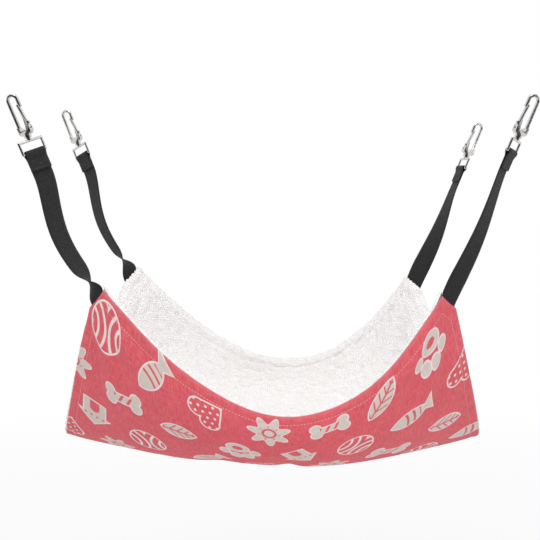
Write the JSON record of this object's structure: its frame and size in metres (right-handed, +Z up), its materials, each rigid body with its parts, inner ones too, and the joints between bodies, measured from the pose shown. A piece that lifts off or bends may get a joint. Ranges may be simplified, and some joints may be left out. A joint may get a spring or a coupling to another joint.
{
  "type": "cat hammock",
  "caption": "Hanging cat hammock: fleece-lined printed mat slung like a trough from corner webbing straps with swivel snap hooks for a cage or chair.",
  "frame": {"origin": "Midway between the four hanging points, which are the centres of the hooks' crowns", "axes": "+X along the mat from left to right as pictured, +Y to the back, +Z up"},
  "size_m": [0.5402, 0.352, 0.4099],
  "materials": {
    "printed_canvas": "matt coral-red cotton canvas with a pale print",
    "fleece": "white short-pile plush",
    "webbing": "matt black woven webbing",
    "nickel_plate": "bright nickel plate over a cast hook and wire eye",
    "spring_steel": "plain bright steel"
  },
  "bodies": {
    "mat": {"outer_panel": "printed_canvas", "fleece_lining": "fleece", "strap_tab_front_left": "webbing", "strap_tab_front_right": "webbing", "strap_tab_rear_left": "webbing", "strap_tab_rear_right": "webbing"},
    "strap_front_left": {"strap_front_left": "webbing"},
    "eye_front_left": {"swivel_eye_front_left": "nickel_plate"},
    "hook_front_left": {"hook_body_front_left": "nickel_plate", "gate_pin_front_left": "spring_steel", "gate_spring_front_left": "spring_steel"},
    "gate_front_left": {"gate_front_left": "nickel_plate"},
    "strap_front_right": {"strap_front_right": "webbing"},
    "eye_front_right": {"swivel_eye_front_right": "nickel_plate"},
    "hook_front_right": {"hook_body_front_right": "nickel_plate", "gate_pin_front_right": "spring_steel", "gate_spring_front_right": "spring_steel"},
    "gate_front_right": {"gate_front_right": "nickel_plate"},
    "strap_rear_left": {"strap_rear_left": "webbing"},
    "eye_rear_left": {"swivel_eye_rear_left": "nickel_plate"},
    "hook_rear_left": {"hook_body_rear_left": "nickel_plate", "gate_pin_rear_left": "spring_steel", "gate_spring_rear_left": "spring_steel"},
    "gate_rear_left": {"gate_rear_left": "nickel_plate"},
    "strap_rear_right": {"strap_rear_right": "webbing"},
    "eye_rear_right": {"swivel_eye_rear_right": "nickel_plate"},
    "hook_rear_right": {"hook_body_rear_right": "nickel_plate", "gate_pin_rear_right": "spring_steel", "gate_spring_rear_right": "spring_steel"},
    "gate_rear_right": {"gate_rear_right": "nickel_plate"}
  },
  "joints": [
    {"name": "strap_swing_front_left", "type": "hinge", "parent": "mat", "child": "strap_front_left", "pos_m": [-0.1818, -0.14319, -0.19839], "axis": [-0.5528, 0.521, -0.6504], "range_deg": [-84, 48]},
    {"name": "eye_pivot_front_left", "type": "hinge", "parent": "strap_front_left", "child": "eye_front_left", "pos_m": [-0.24205, -0.15195, -0.05119], "axis": [0.6279, 0.7183, 0.2998], "range_deg": [-90, 90]},
    {"name": "hook_swivel_front_left", "type": "hinge", "parent": "eye_front_left", "child": "hook_front_left", "pos_m": [-0.24863, -0.15291, -0.03512], "axis": [-0.3782, -0.055, 0.9241], "continuous": true},
    {"name": "gate_open_front_left", "type": "hinge", "parent": "hook_front_left", "child": "gate_front_left", "pos_m": [-0.24717, -0.1554, -0.02547], "axis": [-0.3274, -0.9258, -0.1891], "range_deg": [0, 14], "stiffness_Nm_per_rad": 0.02, "springref_deg": -20.05, "deforming": ["gate_spring_front_left"]},
    {"name": "strap_swing_front_right", "type": "hinge", "parent": "mat", "child": "strap_front_right", "pos_m": [0.18156, -0.1433, -0.20093], "axis": [-0.6166, -0.5811, 0.5311], "range_deg": [-84, 48]},
    {"name": "eye_pivot_front_right", "type": "hinge", "parent": "strap_front_right", "child": "eye_front_right", "pos_m": [0.24222, -0.15202, -0.05127], "axis": [0.453, 0.8817, -0.1323], "range_deg": [-90, 90]},
    {"name": "hook_swivel_front_right", "type": "hinge", "parent": "eye_front_right", "child": "hook_front_right", "pos_m": [0.24875, -0.15295, -0.03517], "axis": [0.3751, -0.0539, 0.9254], "continuous": true},
    {"name": "gate_open_front_right", "type": "hinge", "parent": "hook_front_right", "child": "gate_front_right", "pos_m": [0.24725, -0.15543, -0.02552], "axis": [-0.3284, 0.9258, 0.187], "range_deg": [0, 14], "stiffness_Nm_per_rad": 0.02, "springref_deg": -20.05, "deforming": ["gate_spring_front_right"]},
    {"name": "strap_swing_rear_left", "type": "hinge", "parent": "mat", "child": "strap_rear_left", "pos_m": [-0.18183, 0.14317, -0.19438], "axis": [0.5421, 0.5109, 0.6672], "range_deg": [-84, 48]},
    {"name": "eye_pivot_rear_left", "type": "hinge", "parent": "strap_rear_left", "child": "eye_rear_left", "pos_m": [-0.24241, 0.152, -0.04334], "axis": [0.6302, -0.7183, 0.2948], "range_deg": [-90, 90]},
    {"name": "hook_swivel_rear_left", "type": "hinge", "parent": "eye_rear_left", "child": "hook_rear_left", "pos_m": [-0.24888, 0.15294, -0.02722], "axis": [-0.3717, 0.0542, 0.9268], "continuous": true},
    {"name": "gate_open_rear_left", "type": "hinge", "parent": "hook_rear_left", "child": "gate_rear_left", "pos_m": [-0.24743, 0.15138, -0.01737], "axis": [-0.3664, -0.9258, -0.0928], "range_deg": [0, 14], "stiffness_Nm_per_rad": 0.02, "springref_deg": -20.05, "deforming": ["gate_spring_rear_left"]},
    {"name": "strap_swing_rear_right", "type": "hinge", "parent": "mat", "child": "strap_rear_right", "pos_m": [0.18161, 0.14328, -0.20405], "axis": [0.6049, -0.5701, -0.556], "range_deg": [-84, 48]},
    {"name": "eye_pivot_rear_right", "type": "hinge", "parent": "strap_rear_right", "child": "eye_rear_right", "pos_m": [0.24179, 0.15195, -0.05909], "axis": [0.1812, -0.9833, -0.0164], "range_deg": [-90, 90]},
    {"name": "hook_swivel_rear_right", "type": "hinge", "parent": "eye_rear_right", "child": "hook_rear_right", "pos_m": [0.24845, 0.15291, -0.04304], "axis": [0.3828, 0.0551, 0.9222], "continuous": true},
    {"name": "gate_open_rear_right", "type": "hinge", "parent": "hook_rear_right", "child": "gate_rear_right", "pos_m": [0.24713, 0.15135, -0.03318], "axis": [-0.3656, 0.9258, 0.0964], "range_deg": [0, 14], "stiffness_Nm_per_rad": 0.02, "springref_deg": -20.05, "deforming": ["gate_spring_rear_right"]}
  ]
}
